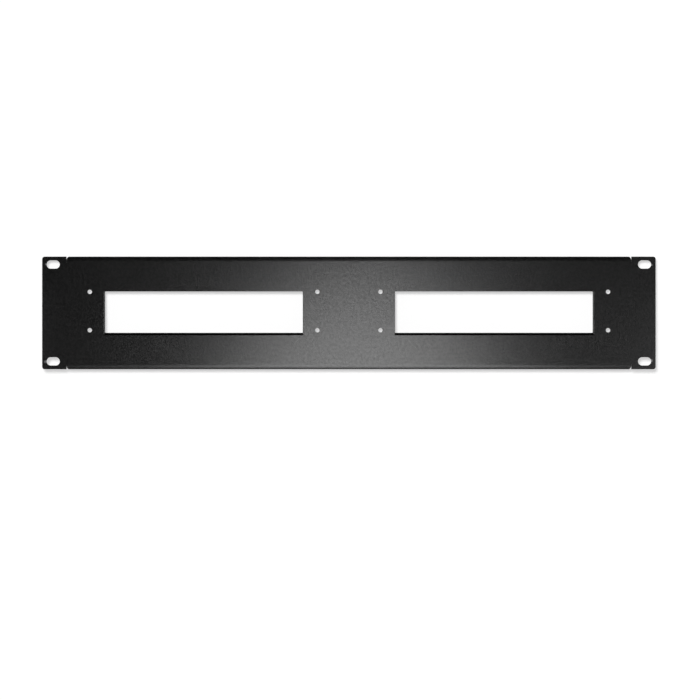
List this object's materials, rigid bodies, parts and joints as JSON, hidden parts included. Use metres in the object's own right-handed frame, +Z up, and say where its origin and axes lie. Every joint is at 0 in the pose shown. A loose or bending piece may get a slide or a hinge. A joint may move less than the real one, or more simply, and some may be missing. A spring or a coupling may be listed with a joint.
{
  "type": "rack mounting plate",
  "caption": "Folded black sheet-steel plate that bolts across an equipment rack by its slotted ears and holds devices in rectangular windows with screw holes beside them.",
  "frame": {"origin": "centre of the four rack slots, in the plane of the ears' back face, which seats on the rack's rails", "axes": "+X along the plate to the right as seen from its face, +Y back into the rack, so the face looks towards -Y, +Z up"},
  "size_m": [0.4826, 0.015, 0.0886],
  "materials": {
    "powder_coat": "fine-textured satin black powder coat on folded steel sheet"
  },
  "bodies": {
    "root": {"mounting_plate": "powder_coat"}
  },
  "joints": []
}
